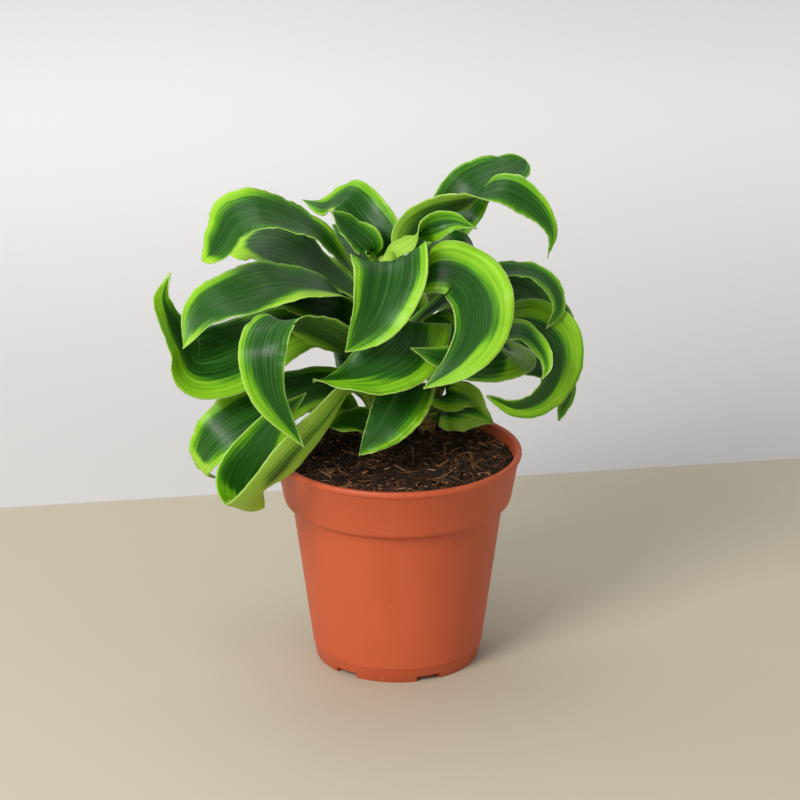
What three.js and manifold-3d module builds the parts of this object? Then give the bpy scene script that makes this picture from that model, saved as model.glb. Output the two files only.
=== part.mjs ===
// A curly, variegated dracaena in a 12 cm terracotta-coloured plastic nursery pot.
// Millimetres, +Z up. The origin is the middle of the pot's base, on the surface it stands on.
// The plant is seen from the front, which is -Y, with +X to the right.

import * as THREE from 'three';
import { mergeVertices } from 'three/addons/utils/BufferGeometryUtils.js';
import Module from 'manifold-3d';

const wasm = await Module();
wasm.setup();

// ---------------------------------------------------------------- driving dimensions

const GAP = 0.3; // clearance between pieces that touch

// Pot: a 12 cm nursery pot with a wide collar under its rolled lip.
const POT_HEIGHT = 106;
const POT_WALL = 1.8;
const POT_SEGMENTS = 48;
const LIP_RADIUS = 60;
const LIP_DEPTH = 3;
const COLLAR_TOP_RADIUS = 58.7;
const COLLAR_FOOT_RADIUS = 55.3;
const COLLAR_FOOT_Z = 84;
const CREASE_Z = 80;
const CREASE_STEP = 2.7; // how far the collar steps out over the crease
const BODY_TOP_RADIUS = 51;
const BODY_BEND_Z = 70; // above here the wall flares a little more
const BODY_BEND_RADIUS = 49.8;
const BODY_FOOT_RADIUS = 41.2;
const FOOT_LINE_Z = 8;
const FOOT_LINE_STEP = 0.4;
const FOOT_RADIUS = 40;
const FOOT_RING_INNER_RADIUS = 34;
const FLOOR_UNDERSIDE_Z = 3;
const FLOOR_TOP_Z = FLOOR_UNDERSIDE_Z + POT_WALL;
const FLOOR_CORNER = [1.4, 2.5]; // the inside corner's width and height
const EDGE_ROUNDING = 0.5;
const LIP_ROUNDING = 0.8;
const BASE_BOSS_RADIUS = 7;
const NOTCH_COUNT = 6;
const NOTCH_FIRST_ANGLE = 22; // degrees to the right of the front
const NOTCH_WIDTH = 12;
const NOTCH_HEIGHT = 2.8;
const NOTCH_DEPTH = 16;
const DRAIN_HOLE_RADIUS = 3.5;
const DRAIN_HOLE_CIRCLE = 27;
const DRAIN_HOLE_SEGMENTS = 12;

// Soil: coir and peat, filled to just under the lip and a little heaped.
const SOIL_EDGE_Z = 101;
const SOIL_HEAP = 4;
const SOIL_LUMP = 1.1;
const SOIL_RINGS = 7;
const SOIL_SEGMENTS = 36;

// Two shoots stand in the soil. Each path is [x, y, z] from its buried foot to its tip.
const STEM_SEGMENTS = 12;
const STEM_RINGS = 12;
const STEM_ROUNDING = 1.5; // at its foot and its tip
const STEM_FOOT_DEPTH = 30; // how far a stem reaches below the soil's edge
const MAIN_STEM = {
  name: 'main_stem',
  footRadius: 6.4,
  tipRadius: 3.4,
  path: [[-9, 7, SOIL_EDGE_Z - STEM_FOOT_DEPTH], [-9, 6, 104], [-7, 3, 150], [-6, 2, 202]],
};
const SIDE_STEM = {
  name: 'side_stem',
  footRadius: 5.2,
  tipRadius: 3,
  path: [[13, 35, SOIL_EDGE_Z - STEM_FOOT_DEPTH], [14, 34, 104], [19, 27, 136], [25, 18, 172]],
};

// Leaves: one thin arched blade each, clasping its stem.
const BLADE_THICKNESS = 0.9;
const BLADE_ROWS = 13;
const BLADE_COLUMNS = 4;
const CLASP_WIDTH = 7.5;
const CLASP_RISE = 8;
const CLASP_REACH = 5;
const TIP_WIDTH = 1.2;
const BLADE_PEAK = 0.5; // the share of its length where a blade starts to close
const CLASP_SHARE = 0.3; // the share over which the clasp opens into the blade
const RIPPLE_HEIGHT = 0.9;
const RIPPLE_WAVES = 2.5;
const VIEW_TILT = 20; // degrees: the front is looked at from this far above

// Every leaf has its root height on the stem, its widest width, its cup (the half angle of the
// arc across the blade, in degrees) and the places that its midrib runs through, as
// [x, y, z, turn]. A turn of 0 shows the upper face to the front, 180 the underside.
const MAIN_LEAVES = [
  { root: 196, width: 18, cup: 40, run: [[-14, 2, 206, -40], [-22, 2, 214, -45], [-32, 0, 225, -50]] },
  { root: 193, width: 16, cup: 40, run: [[-3, -5, 207, -125], [6, -7, 213, -110],
    [16, -7, 219, -30], [27, -7, 221, 35], [37, -8, 218, 55]] },
  { root: 190, width: 24, cup: 18, run: [[-7, 13, 207, 0], [-15, 18, 216, 0],
    [-24, 22, 225, -30], [-35, 30, 219, -50], [-46, 36, 220, -60]] },
  { root: 186, width: 38, cup: 45, peak: 0.4, run: [[-3, -30, 209, -10], [-4, -42, 203, 0],
    [-9, -50, 190, 5], [-17, -50, 179, 10], [-24, -48, 171, 10]] },
  { root: 182, width: 23, cup: 18, point: 1.4, run: [[5, 11, 210, 140], [14, 12, 218, 128],
    [31, 12, 225, 104], [50, 10, 232, 42], [66, 8, 223, 20], [73, 6, 212, 0], [71, 5, 200, 0]] },
  { root: 178, width: 29, cup: 22, peak: 0.7, point: 0.6, run: [[-27, -4, 203, -66],
    [-39, -8, 217, -70], [-53, -12, 225, -54], [-65, -16, 229, -45], [-76, -18, 226, -38],
    [-82, -18, 216, -38], [-91, -16, 205, -35]] },
  { root: 176, width: 18, cup: 30, run: [[22, 9, 203, 30], [29, 9, 208, 50], [35, 14, 204, 70],
    [36, 12, 196, 60]] },
  { root: 160, width: 31, cup: 14, run: [[17, -21, 202, 45], [31, -25, 201, 30], [39, -34, 192, 5],
    [38, -42, 178, 0], [29, -48, 166, -5], [12, -50, 154, 0]] },
  { root: 170, width: 26, cup: 20, peak: 0.8, point: 0.5, run: [[28, 31, 216, 10], [36, 33, 227, 25],
    [43, 35, 231, 38], [53, 38, 234, 38], [62, 44, 237, 30]] },
  { root: 158, width: 38, cup: 18, run: [[-29, -10, 188, -84], [-48, -18, 194, -68],
    [-57, -22, 195, -52], [-69, -26, 193, -42], [-89, -33, 187, -35], [-99, -40, 170, -10]] },
  { root: 153, width: 37, cup: 18, peak: 0.4, run: [[7, -22, 177, 25], [3, -34, 168, 10],
    [-12, -42, 160, -15], [-26, -46, 157, -50], [-39, -47, 157, -50]] },
  { root: 168, width: 34, cup: 20, peak: 0.75, point: 0.7, run: [[-33, 19, 187, -60],
    [-47, 16, 198, -55], [-61, 18, 203, -50], [-73, 18, 202, -45], [-80, 18, 198, -40]] },
  { root: 156, width: 19, cup: 25, run: [[49, 4, 193, 60], [63, 4, 193, 60], [73, 1, 187, 50],
    [76, -4, 178, 30], [70, -11, 170, 0]] },
  { root: 139, width: 26, cup: 18, run: [[14, -5, 160, 50], [19, -8, 169, 45], [23, -11, 167, 30],
    [23, -12, 158, 10]] },
  { root: 147, width: 26, cup: 20, run: [[-25, 2, 173, -60], [-40, -4, 179, -50],
    [-55, -8, 182, -50], [-62, -6, 180, -60]] },
  { root: 143, width: 37, cup: 14, peak: 0.54, point: 1.3, run: [[-46, -11, 169, -50],
    [-68, -22, 164, -30], [-86, -31, 159, -22], [-94, -34, 160, -32], [-100, -33, 170, -55],
    [-107, -33, 184, -52], [-109, -32, 192, -35], [-105, -28, 203, -30]] },
  { root: 139, width: 26, cup: 16, run: [[-25, -28, 167, -130], [-42, -44, 182, -120],
    [-55, -52, 187, -60], [-61, -63, 177, -10], [-59, -67, 158, 0], [-43, -68, 132, 10]] },
  { root: 129, width: 20, cup: 20, run: [[-20, 7, 146, -60], [-28, 11, 147, -40],
    [-26, 13, 138, -20]] },
  { root: 125, width: 30, cup: 16, run: [[-25, -6, 141, -50], [-46, -18, 141, -40],
    [-66, -30, 135, -25], [-86, -36, 124, -15], [-93, -28, 106, -60], [-86, -20, 98, -120]] },
  { root: 127, width: 26, cup: 16, run: [[5, -16, 144, 30], [2, -26, 139, 10], [-5, -34, 130, 0],
    [-18, -36, 116, 0]] },
  { root: 123, width: 24, cup: 14, peak: 0.7, run: [[-21, -34, 150, -125], [-36, -50, 137, -125],
    [-51, -59, 122, -120], [-66, -61, 105, -105], [-73, -54, 96, -80], [-74, -48, 109, -20],
    [-64, -48, 125, 0], [-53, -49, 141, 0], [-42, -50, 152, 0]] },
  { root: 107, width: 20, cup: 20, run: [[-13, -10, 120, -60], [-22, -16, 125, -50],
    [-33, -20, 124, -40]] },
];
const SIDE_LEAVES = [
  { root: 134, width: 24, cup: 14, run: [[39, 8, 153, 40], [52, 3, 154, 70], [54, -12, 157, -20],
    [41, -26, 159, -15], [22, -37, 164, -10], [6, -42, 171, 0]] },
  { root: 166, width: 21, cup: 20, run: [[47, 18, 182, 30], [60, 19, 180, 30], [70, 14, 173, 30],
    [73, 11, 165, 20]] },
  { root: 160, width: 15, cup: 20, run: [[45, -18, 171, 50], [59, -22, 172, 35],
    [68, -26, 164, 20], [70, -28, 157, 0], [68, -28, 151, -10]] },
  { root: 147, width: 28, cup: 30, run: [[53, -2, 170, 50], [65, -7, 172, 45],
    [74, -10, 164, 35], [76, -16, 152, 40], [70, -22, 141, 40], [57, -26, 136, 45],
    [42, -26, 142, 60]] },
  { root: 140, width: 22, cup: 20, run: [[50, 28, 168, 40], [77, 28, 169, 50], [83, 30, 159, 40],
    [85, 30, 151, 20]] },
  { root: 127, width: 24, cup: 20, run: [[50, 27, 143, 40], [77, 22, 139, 50], [82, 24, 126, 30],
    [79, 24, 111, 20]] },
  { root: 116, width: 18, cup: 20, run: [[26, 18, 127, 15], [33, 20, 125, 20], [39, 21, 120, 25]] },
  { root: 108, width: 32, cup: 18, peak: 0.4, point: 1.2, run: [[25, 28, 117, 35],
    [35, 29, 115, 35], [42, 29, 111, 32], [47, 28, 108, 30]] },
];

// The leaves behind are kin to leaves at the front: each has the run of the leaf that it is like,
// swung about the stem by `swing` degrees (anticlockwise from above) and set at its own height.
const MAIN_BACK_LEAVES = [
  { like: 5, root: 152, swing: -97 },
  { like: 9, root: 140, swing: -76 },
  { like: 7, root: 132, swing: 118 },
  { like: 9, root: 122, swing: -97 },
  { like: 18, root: 108, swing: -52 },
  { like: 19, root: 118, swing: 170 },
];
const SIDE_BACK_LEAVES = [
  { like: 1, root: 171, swing: 100 },
  { like: 2, root: 146, swing: 140 },
  { like: 1, root: 120, swing: 52 },
];

// ---------------------------------------------------------------- solids and materials

const radians = THREE.MathUtils.degToRad;
const mix = THREE.MathUtils.lerp;
const smooth = THREE.MathUtils.smoothstep;

function plainMaterial(color, roughness) {
  return new THREE.MeshStandardMaterial({ color, roughness, metalness: 0 });
}

// A closed geometry with its shared vertices merged and its flat triangles dropped.
function closedGeometry(geometry) {
  const bare = geometry.clone();
  bare.deleteAttribute('normal');
  bare.deleteAttribute('uv');
  const merged = mergeVertices(bare, 1e-4);
  const index = merged.index.array;
  const kept = [];
  for (let i = 0; i < index.length; i += 3) {
    const [a, b, c] = [index[i], index[i + 1], index[i + 2]];
    if (a !== b && b !== c && c !== a) kept.push(a, b, c);
  }
  merged.setIndex(kept);
  return merged;
}

function toManifold(geometry) {
  const closed = closedGeometry(geometry);
  return new wasm.Manifold(new wasm.Mesh({
    numProp: 3,
    vertProperties: new Float32Array(closed.attributes.position.array),
    triVerts: new Uint32Array(closed.index.array),
  }));
}

function fromManifold(solid) {
  const mesh = solid.getMesh();
  const geometry = new THREE.BufferGeometry();
  geometry.setAttribute('position', new THREE.BufferAttribute(mesh.vertProperties, 3));
  geometry.setIndex(new THREE.BufferAttribute(mesh.triVerts, 1));
  geometry.computeVertexNormals();
  return geometry;
}

// A solid of revolution about Z. The profile is [radius, z], and it starts and ends on the axis.
function turned(profile, segments) {
  const points = profile.map(([radius, z]) => new THREE.Vector2(radius, z));
  const geometry = new THREE.LatheGeometry(points, segments);
  geometry.rotateX(Math.PI / 2);
  return closedGeometry(geometry);
}

function named(name, geometry, material) {
  const mesh = new THREE.Mesh(geometry, material);
  mesh.name = name;
  return mesh;
}

// ---------------------------------------------------------------- pot

// The inside of the pot's wall, from the floor up to the lip, as [radius, z].
const POT_INSIDE = [
  [BODY_FOOT_RADIUS - POT_WALL - FLOOR_CORNER[0], FLOOR_TOP_Z],
  [BODY_FOOT_RADIUS - POT_WALL, FLOOR_TOP_Z + FLOOR_CORNER[1]],
  [BODY_TOP_RADIUS - POT_WALL, CREASE_Z],
  [COLLAR_FOOT_RADIUS - POT_WALL, COLLAR_FOOT_Z + 1],
  [COLLAR_TOP_RADIUS - POT_WALL, POT_HEIGHT - 1.2],
];

function potGeometry() {
  const outside = [
    [0, 0],
    [BASE_BOSS_RADIUS, 0],
    [BASE_BOSS_RADIUS, FLOOR_UNDERSIDE_Z],
    [FOOT_RING_INNER_RADIUS, FLOOR_UNDERSIDE_Z],
    [FOOT_RING_INNER_RADIUS, 0],
    [FOOT_RADIUS - EDGE_ROUNDING, 0],
    [FOOT_RADIUS, EDGE_ROUNDING],
    [BODY_FOOT_RADIUS, FOOT_LINE_Z - EDGE_ROUNDING],
    [BODY_FOOT_RADIUS + FOOT_LINE_STEP, FOOT_LINE_Z],
    [BODY_BEND_RADIUS, BODY_BEND_Z],
    [BODY_TOP_RADIUS, CREASE_Z],
    [BODY_TOP_RADIUS + CREASE_STEP, CREASE_Z + 0.8],
    [COLLAR_FOOT_RADIUS - 0.4, COLLAR_FOOT_Z - 2],
    [COLLAR_FOOT_RADIUS, COLLAR_FOOT_Z],
    [COLLAR_TOP_RADIUS, POT_HEIGHT - LIP_DEPTH - 0.4],
    [LIP_RADIUS, POT_HEIGHT - LIP_DEPTH + 0.4],
    [LIP_RADIUS, POT_HEIGHT - 1],
    [LIP_RADIUS - LIP_ROUNDING, POT_HEIGHT],
    [COLLAR_TOP_RADIUS - POT_WALL + 0.7, POT_HEIGHT],
  ];
  const inside = [...POT_INSIDE].reverse();
  let pot = toManifold(turned([...outside, ...inside, [0, FLOOR_TOP_Z]], POT_SEGMENTS));
  for (let i = 0; i < NOTCH_COUNT; i += 1) {
    const angle = radians(NOTCH_FIRST_ANGLE + (i * 360) / NOTCH_COUNT);
    const notch = new THREE.BoxGeometry(NOTCH_WIDTH, NOTCH_DEPTH, 2 * NOTCH_HEIGHT);
    notch.translate(0, -FOOT_RADIUS + 2, 0);
    notch.rotateZ(angle);
    pot = pot.subtract(toManifold(notch));
    const hole = new THREE.CylinderGeometry(
      DRAIN_HOLE_RADIUS, DRAIN_HOLE_RADIUS, 4 * POT_WALL, DRAIN_HOLE_SEGMENTS);
    hole.rotateX(Math.PI / 2);
    hole.translate(0, -DRAIN_HOLE_CIRCLE, FLOOR_TOP_Z);
    hole.rotateZ(angle);
    pot = pot.subtract(toManifold(hole));
  }
  return fromManifold(pot);
}

// ---------------------------------------------------------------- stems

// A stem is turned about Z and then leaned, ring by ring, along its path.
function stemCentre(stem, z) {
  const path = stem.path;
  let i = 1;
  while (i < path.length - 1 && z > path[i][2]) i += 1;
  const [from, to] = [path[i - 1], path[i]];
  const t = (z - from[2]) / (to[2] - from[2]);
  return new THREE.Vector3(mix(from[0], to[0], t), mix(from[1], to[1], t), z);
}

function stemRadius(stem, z) {
  const foot = stem.path[0][2];
  const tip = stem.path.at(-1)[2];
  return mix(stem.footRadius, stem.tipRadius, smooth(z, foot, tip));
}

function stemGeometry(stem, grow = 0) {
  const foot = stem.path[0][2] - grow;
  const tip = stem.path.at(-1)[2];
  const profile = [[0, foot], [stem.footRadius - STEM_ROUNDING + grow, foot]];
  for (let i = 0; i <= STEM_RINGS; i += 1) {
    const z = mix(foot + STEM_ROUNDING, tip - STEM_ROUNDING, i / STEM_RINGS);
    profile.push([stemRadius(stem, z) + grow, z]);
  }
  profile.push([stem.tipRadius * 0.6 + grow, tip - 0.3], [0, tip]);
  const geometry = turned(profile, STEM_SEGMENTS);
  const position = geometry.attributes.position;
  for (let i = 0; i < position.count; i += 1) {
    const centre = stemCentre(stem, position.getZ(i));
    position.setXYZ(i, position.getX(i) + centre.x, position.getY(i) + centre.y, centre.z);
  }
  return geometry;
}

// ---------------------------------------------------------------- soil

// The height of the soil's top over the point x, y: a low heap with lumps.
function soilTop(x, y) {
  const edge = Math.hypot(x, y) / COLLAR_TOP_RADIUS;
  const lumps = Math.sin(x * 0.31 + 1.3) * Math.cos(y * 0.27) + 0.7 * Math.sin(x * 0.13 - y * 0.37 + 2);
  return SOIL_EDGE_Z + SOIL_HEAP * (1 - edge * edge) + SOIL_LUMP * lumps * (1 - edge ** 4);
}

function soilGeometry() {
  const wall = POT_INSIDE.slice(0, -1).map(([radius, z]) => [radius - GAP, z]);
  wall[0][1] = FLOOR_TOP_Z + GAP;
  const rise = (SOIL_EDGE_Z - wall.at(-1)[1]) / (POT_INSIDE.at(-1)[1] - wall.at(-1)[1]);
  const edge = mix(wall.at(-1)[0], POT_INSIDE.at(-1)[0] - GAP, rise);
  const profile = [[0, FLOOR_TOP_Z + GAP], ...wall];
  for (let i = 0; i < SOIL_RINGS; i += 1) profile.push([edge * (1 - i / SOIL_RINGS), SOIL_EDGE_Z]);
  profile.push([0, SOIL_EDGE_Z]);
  const geometry = turned(profile, SOIL_SEGMENTS);
  const position = geometry.attributes.position;
  for (let i = 0; i < position.count; i += 1) {
    const [x, y, z] = [position.getX(i), position.getY(i), position.getZ(i)];
    if (z > SOIL_EDGE_Z - 0.1 && Math.hypot(x, y) < edge - 0.5) position.setZ(i, soilTop(x, y));
  }
  let soil = toManifold(geometry);
  for (const stem of [MAIN_STEM, SIDE_STEM]) soil = soil.subtract(toManifold(stemGeometry(stem, GAP)));
  return fromManifold(soil);
}

// ---------------------------------------------------------------- leaves

const FRONT = new THREE.Vector3(0, -Math.cos(radians(VIEW_TILT)), Math.sin(radians(VIEW_TILT)));
const UP = new THREE.Vector3(0, 0, 1);

// The direction across the blade, from its left margin to its right, where it runs along
// `along` and its upper face looks to the front, turned about its run by `turn` degrees.
function acrossBlade(along, turn) {
  const face = FRONT.clone().addScaledVector(along, -FRONT.dot(along)).normalize();
  const across = new THREE.Vector3().crossVectors(along, face);
  const angle = radians(turn);
  return across.multiplyScalar(Math.cos(angle)).addScaledVector(face, Math.sin(angle));
}

// The midrib's curve and the matching curve of directions across the blade.
function bladeCurves(stem, leaf) {
  const ownRoot = stemCentre(stem, leaf.root);
  const kinRoot = stemCentre(stem, leaf.kinRoot ?? leaf.root);
  const spin = new THREE.Quaternion().setFromAxisAngle(UP, radians(leaf.swing ?? 0));
  const places = leaf.run.map(([x, y, z]) => new THREE.Vector3(x, y, z).sub(kinRoot));
  const outward = places[0].clone().setZ(0).normalize();
  const seat = stemRadius(stem, leaf.root) + GAP + BLADE_THICKNESS / 2;
  const root = outward.clone().multiplyScalar(seat);
  const rise = root.clone().addScaledVector(outward, CLASP_REACH).addScaledVector(UP, CLASP_RISE);
  const points = [root, rise, ...places];
  const midrib = new THREE.CatmullRomCurve3(points);
  const last = points.length - 1;
  const clasp = new THREE.Vector3().crossVectors(UP, outward).negate();
  const across = points.map((point, i) => {
    if (i < 2) return clasp.clone();
    return acrossBlade(midrib.getTangent(i / last), leaf.run[i - 2][3]);
  });
  for (const point of points) point.applyQuaternion(spin).add(ownRoot);
  for (const direction of across) direction.applyQuaternion(spin);
  midrib.updateArcLengths();
  return { midrib, across: new THREE.CatmullRomCurve3(across), seat };
}

// The blade opens from its clasp to its widest width, and closes to its tip from `peak` on,
// the more slenderly the higher its `point`.
function bladeWidth(t, leaf) {
  const peak = leaf.peak ?? BLADE_PEAK;
  const opening = smooth(t, 0, 0.8 * peak);
  const closing = t < peak ? 1 : (1 - ((t - peak) / (1 - peak)) ** 2) ** (leaf.point ?? 1);
  return Math.max(TIP_WIDTH, mix(CLASP_WIDTH, leaf.width, opening) * closing);
}

// The point of the blade's middle surface a share t along it and s across it (-1 to 1).
function bladePoint(curves, leaf, t, s) {
  const u = curves.midrib.getUtoTmapping(t);
  const along = curves.midrib.getTangent(u);
  const across = curves.across.getPoint(u);
  across.addScaledVector(along, -across.dot(along)).normalize();
  const face = new THREE.Vector3().crossVectors(across, along);
  const width = bladeWidth(t, leaf);
  const claspAngle = CLASP_WIDTH / 2 / curves.seat;
  const bladeAngle = radians(leaf.cup) * (1 - 0.5 * t);
  const angle = mix(claspAngle, bladeAngle, smooth(t, 0, CLASP_SHARE));
  const radius = width / 2 / angle;
  const ripple = RIPPLE_HEIGHT * smooth(t, 0.15, 0.4) * s ** 3
    * Math.sin(2 * Math.PI * RIPPLE_WAVES * t + leaf.root);
  const point = curves.midrib.getPoint(u);
  point.addScaledVector(across, radius * Math.sin(angle * s));
  return point.addScaledVector(face, radius * (1 - Math.cos(angle * s)) + ripple);
}

function leafGeometry(stem, leaf) {
  const curves = bladeCurves(stem, leaf);
  const wide = BLADE_COLUMNS + 1;
  const middle = [];
  for (let i = 0; i <= BLADE_ROWS; i += 1) {
    for (let j = 0; j < wide; j += 1) {
      middle.push(bladePoint(curves, leaf, i / BLADE_ROWS, (2 * j) / BLADE_COLUMNS - 1));
    }
  }
  const at = (i, j) => i * wide + j;
  const upper = [];
  const under = [];
  for (let i = 0; i <= BLADE_ROWS; i += 1) {
    for (let j = 0; j < wide; j += 1) {
      const along = middle[at(Math.min(i + 1, BLADE_ROWS), j)].clone()
        .sub(middle[at(Math.max(i - 1, 0), j)]);
      const across = middle[at(i, Math.min(j + 1, BLADE_COLUMNS))].clone()
        .sub(middle[at(i, Math.max(j - 1, 0))]);
      const face = new THREE.Vector3().crossVectors(across, along).normalize();
      upper.push(middle[at(i, j)].clone().addScaledVector(face, BLADE_THICKNESS / 2));
      under.push(middle[at(i, j)].clone().addScaledVector(face, -BLADE_THICKNESS / 2));
    }
  }
  const points = [...upper, ...under];
  const below = upper.length;
  const index = [];
  const quad = (a, b, c, d) => index.push(a, b, c, a, c, d);
  for (let i = 0; i < BLADE_ROWS; i += 1) {
    for (let j = 0; j < BLADE_COLUMNS; j += 1) {
      const [a, b, c, d] = [at(i, j), at(i, j + 1), at(i + 1, j + 1), at(i + 1, j)];
      quad(a, b, c, d);
      index.push(below + a, below + c, below + b, below + a, below + d, below + c);
    }
    const [left, nextLeft] = [at(i, 0), at(i + 1, 0)];
    const [right, nextRight] = [at(i, BLADE_COLUMNS), at(i + 1, BLADE_COLUMNS)];
    quad(below + left, left, nextLeft, below + nextLeft);
    quad(right, below + right, below + nextRight, nextRight);
  }
  for (let j = 0; j < BLADE_COLUMNS; j += 1) {
    const [a, b] = [at(0, j), at(0, j + 1)];
    quad(below + a, below + b, b, a);
    const [c, d] = [at(BLADE_ROWS, j), at(BLADE_ROWS, j + 1)];
    quad(c, d, below + d, below + c);
  }
  const geometry = new THREE.BufferGeometry().setFromPoints(points);
  geometry.setIndex(index);
  geometry.computeVertexNormals();
  return geometry;
}

// ---------------------------------------------------------------- the potted plant

const leafMaterial = () => plainMaterial('#2f5e2a', 0.4);
const stemMaterial = () => plainMaterial('#8f9a3c', 0.6);
const twoDigits = (number) => String(number).padStart(2, '0');
const plant = new THREE.Group();
plant.add(named('pot', potGeometry(), plainMaterial('#b9552f', 0.55)));
plant.add(named('soil', soilGeometry(), plainMaterial('#35251a', 0.95)));
plant.add(named(MAIN_STEM.name, stemGeometry(MAIN_STEM), stemMaterial()));
plant.add(named(SIDE_STEM.name, stemGeometry(SIDE_STEM), stemMaterial()));
for (const [stem, leaves, backLeaves, label] of [
  [MAIN_STEM, MAIN_LEAVES, MAIN_BACK_LEAVES, 'main'],
  [SIDE_STEM, SIDE_LEAVES, SIDE_BACK_LEAVES, 'side'],
]) {
  const kin = backLeaves.map((back) => {
    const front = leaves[back.like];
    return { ...front, kinRoot: front.root, ...back };
  });
  leaves.forEach((leaf, i) => {
    plant.add(named(`${label}_leaf_${twoDigits(i + 1)}`, leafGeometry(stem, leaf), leafMaterial()));
  });
  kin.forEach((leaf, i) => {
    plant.add(named(`${label}_back_leaf_${twoDigits(i + 1)}`, leafGeometry(stem, leaf), leafMaterial()));
  });
}

export default plant;
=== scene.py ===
# A curly, variegated dracaena in a terracotta-coloured plastic nursery pot.
# +Z is up and the origin is the middle of the pot's base. Sizes are given in millimetres, and the
# positions inside materials, the lights and the camera in metres.

import math
import random

import bmesh
import bpy
from mathutils import Matrix, Vector, noise


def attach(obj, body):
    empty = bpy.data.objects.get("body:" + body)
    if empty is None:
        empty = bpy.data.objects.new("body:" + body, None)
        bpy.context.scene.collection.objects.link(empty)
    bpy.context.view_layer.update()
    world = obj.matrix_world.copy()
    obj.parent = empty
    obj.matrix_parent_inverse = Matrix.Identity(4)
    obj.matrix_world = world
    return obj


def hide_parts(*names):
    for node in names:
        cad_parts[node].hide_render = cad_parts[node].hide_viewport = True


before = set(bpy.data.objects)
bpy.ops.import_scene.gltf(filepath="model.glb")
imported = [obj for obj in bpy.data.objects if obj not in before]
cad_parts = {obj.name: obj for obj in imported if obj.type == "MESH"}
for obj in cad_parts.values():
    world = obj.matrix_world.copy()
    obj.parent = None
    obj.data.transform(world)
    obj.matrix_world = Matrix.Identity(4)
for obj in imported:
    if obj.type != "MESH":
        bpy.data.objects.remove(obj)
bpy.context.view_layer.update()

# ---------------------------------------------------------------------------------------- pot
# A 12 cm nursery pot, injection moulded in one piece from terracotta-coloured polypropylene.
# Its wide collar stands out over the body, and six notches in the foot ring let water out.

MM = 0.001
AXIS = 0.001  # the radius of a profile's end: so near the axis that the spin closes it
MERGE_DISTANCE = 0.01
FLOOR_Z = 4.8
POT_PROFILE = (
    (AXIS, 0), (7, 0), (7, 3), (34, 3), (34, 0), (39.5, 0), (40, 0.5), (41.2, 7.5), (41.65, 7.8),
    (41.6, 8.3), (49.8, 70), (50.7, 79.2), (51.1, 80), (53.5, 80.7), (54.7, 81.7), (55.25, 83.4),
    (58.7, 102.4), (59.1, 102.9), (59.8, 103.4), (60, 104.1), (59.95, 105.1), (59.6, 105.8),
    (59, 106), (57.9, 106), (57.2, 105.6), (56.9, 104.8), (53.5, 85), (49.2, 80), (39.4, 7.3),
    (38, FLOOR_Z), (AXIS, FLOOR_Z),
)
POT_STEPS = 240
NOTCHES = 6
NOTCH_FIRST_ANGLE = 22
NOTCH_WIDTH = 12
NOTCH_DEPTH = 16
NOTCH_HEIGHT = 2.8
NOTCH_INSET = 2  # from the foot's outside to the middle of the notch
FOOT_RADIUS = 40
DRAIN_HOLE_RADIUS = 3.5
DRAIN_HOLE_CIRCLE = 27
DRAIN_HOLE_SIDES = 32
DRAIN_CUT_HEIGHT = 8
EDGE_ROUNDING = 0.35
EDGE_SEGMENTS = 2
SHARP_ANGLE = 38
DEEP_TERRACOTTA = (0.49, 0.078, 0.0215)
BRIGHT_TERRACOTTA = (0.59, 0.105, 0.034)
RUBBED_TERRACOTTA = (0.68, 0.19, 0.09)
POT_DUST = (0.55, 0.28, 0.18)
DUST_REACH = 0.05


def new_piece(name, shape, material, slot, *nodes):
    """A smooth-shaded mesh object that rides on the plant and stands for the given nodes."""
    mesh = bpy.data.meshes.new(name)
    shape.to_mesh(mesh)
    shape.free()
    mesh.materials.append(material)
    mesh.shade_smooth()
    piece = bpy.data.objects.new(name, mesh)
    bpy.context.scene.collection.objects.link(piece)
    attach(piece, "root")
    if nodes:
        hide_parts(*nodes)
    return piece


def spin_profile(profile, steps):
    """A closed shell: the profile of (radius, z) in millimetres, spun about Z."""
    shape = bmesh.new()
    outline = [shape.verts.new((radius * MM, 0, z * MM)) for radius, z in profile]
    edges = [shape.edges.new(pair) for pair in zip(outline, outline[1:])]
    bmesh.ops.spin(
        shape, geom=outline + edges, cent=(0, 0, 0), axis=(0, 0, 1), angle=math.tau, steps=steps,
        use_merge=True)
    bmesh.ops.remove_doubles(shape, verts=shape.verts, dist=MERGE_DISTANCE * MM)
    bmesh.ops.recalc_face_normals(shape, faces=shape.faces)
    return shape


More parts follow.
